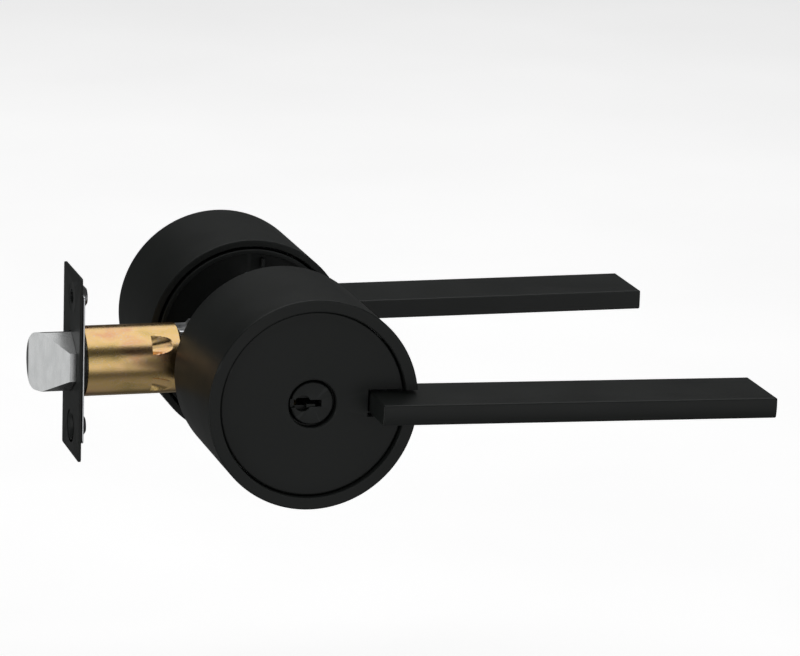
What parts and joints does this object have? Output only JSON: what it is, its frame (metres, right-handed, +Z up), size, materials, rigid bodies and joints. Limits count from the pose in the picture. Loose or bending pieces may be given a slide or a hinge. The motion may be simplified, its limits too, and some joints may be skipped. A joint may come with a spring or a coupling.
{
  "type": "lever door lockset",
  "caption": "Keyed lever lockset for a door: flat levers in hollow drum handles on both sides, one square spindle, and a sprung tubular latch drawn back by either lever.",
  "frame": {"origin": "where the spindle's axis crosses the latch's axis, in the middle of the door's thickness", "axes": "+X from the latch towards the levers' free ends, +Y from the key side to the indoor side along the spindle, +Z up"},
  "size_m": [0.2176, 0.155, 0.0652],
  "materials": {
    "black_coat": "satin black powder coat with a faint green-grey cast",
    "gold_zinc": "yellow dichromate zinc plating, iridescent",
    "satin_steel": "brushed satin steel",
    "bright_zinc": "bright zinc plate, slightly cloudy",
    "cast_zinc": "grey die casting",
    "spring_steel": "oiled spring wire",
    "brass": "machined brass"
  },
  "bodies": {
    "lock_frame": {"faceplate": "black_coat", "backing_plate": "bright_zinc", "tube_collar": "black_coat", "latch_tube": "gold_zinc", "latch_case_outer": "bright_zinc", "latch_case_inner": "bright_zinc", "case_rivet_front": "bright_zinc", "case_rivet_rear": "bright_zinc", "spring_seat": "bright_zinc", "latch_spring": "spring_steel", "outer_mount_cup": "black_coat", "inner_mount_cup": "black_coat", "outer_bearing_sleeve": "bright_zinc", "inner_bearing_sleeve": "bright_zinc", "outer_return_spring": "spring_steel", "inner_return_spring": "spring_steel", "mount_post_upper": "bright_zinc", "mount_post_lower": "bright_zinc", "through_screw_upper": "bright_zinc", "through_screw_lower": "bright_zinc"},
    "outer_handle": {"outer_drum": "black_coat", "outer_face_disc": "black_coat", "outer_core": "cast_zinc", "outer_lever": "black_coat", "outer_lever_screw_1": "bright_zinc", "outer_lever_screw_2": "bright_zinc", "outer_set_screw": "black_coat", "outer_neck_clip": "spring_steel", "cylinder_housing": "black_coat", "pin_cover": "brass", "driver_pin_1": "brass", "driver_pin_2": "brass", "driver_pin_3": "brass", "driver_pin_4": "brass", "driver_pin_5": "brass"},
    "plug": {"key_plug": "black_coat", "plug_clip": "spring_steel", "key_tailpiece": "bright_zinc", "key_pin_1": "brass", "key_pin_2": "brass", "key_pin_3": "brass", "key_pin_4": "brass", "key_pin_5": "brass"},
    "inner_handle": {"inner_drum": "black_coat", "inner_face_disc": "black_coat", "inner_core": "cast_zinc", "inner_lever": "black_coat", "inner_lever_screw_1": "bright_zinc", "inner_lever_screw_2": "bright_zinc", "inner_set_screw": "black_coat", "inner_neck_clip": "spring_steel"},
    "turn_button": {"thumb_turn": "black_coat", "thumb_clip": "spring_steel", "thumb_bar": "bright_zinc"},
    "hub_and_spindle": {"hub": "cast_zinc", "spindle": "bright_zinc"},
    "bolt": {"latch_bolt": "satin_steel", "drawbar": "bright_zinc"}
  },
  "joints": [
    {"name": "outer_handle_turn", "type": "hinge", "parent": "lock_frame", "child": "outer_handle", "pos_m": [0, 0, 0], "axis": [0, 1, 0], "range_deg": [0, 60], "stiffness_Nm_per_rad": 0.8, "springref_deg": -40.11},
    {"name": "inner_handle_turn", "type": "hinge", "parent": "lock_frame", "child": "inner_handle", "pos_m": [0, 0, 0], "axis": [0, 1, 0], "range_deg": [0, 60], "stiffness_Nm_per_rad": 0.8, "springref_deg": -40.11},
    {"name": "hub_turn", "type": "hinge", "parent": "lock_frame", "child": "hub_and_spindle", "pos_m": [0, 0, 0], "axis": [0, 1, 0], "range_deg": [0, 60]},
    {"name": "bolt_slide", "type": "slide", "parent": "lock_frame", "child": "bolt", "axis": [1, 0, 0], "range_m": [0, 0.0127], "stiffness_N_per_m": 300, "springref_m": -0.01, "deforming": ["latch_spring"]},
    {"name": "key_turn", "type": "hinge", "parent": "outer_handle", "child": "plug", "pos_m": [0, 0, 0], "axis": [0, 1, 0], "range_deg": [-90, 90]},
    {"name": "thumb_button_turn", "type": "hinge", "parent": "inner_handle", "child": "turn_button", "pos_m": [0, 0, 0], "axis": [0, 1, 0], "range_deg": [0, 90]}
  ],
  "couplings": [
    {"joint": "inner_handle_turn", "follows": "outer_handle_turn", "ratio": 1},
    {"joint": "hub_turn", "follows": "outer_handle_turn", "ratio": 1},
    {"joint": "bolt_slide", "follows": "outer_handle_turn", "m_per_rad": 0.01212}
  ]
}
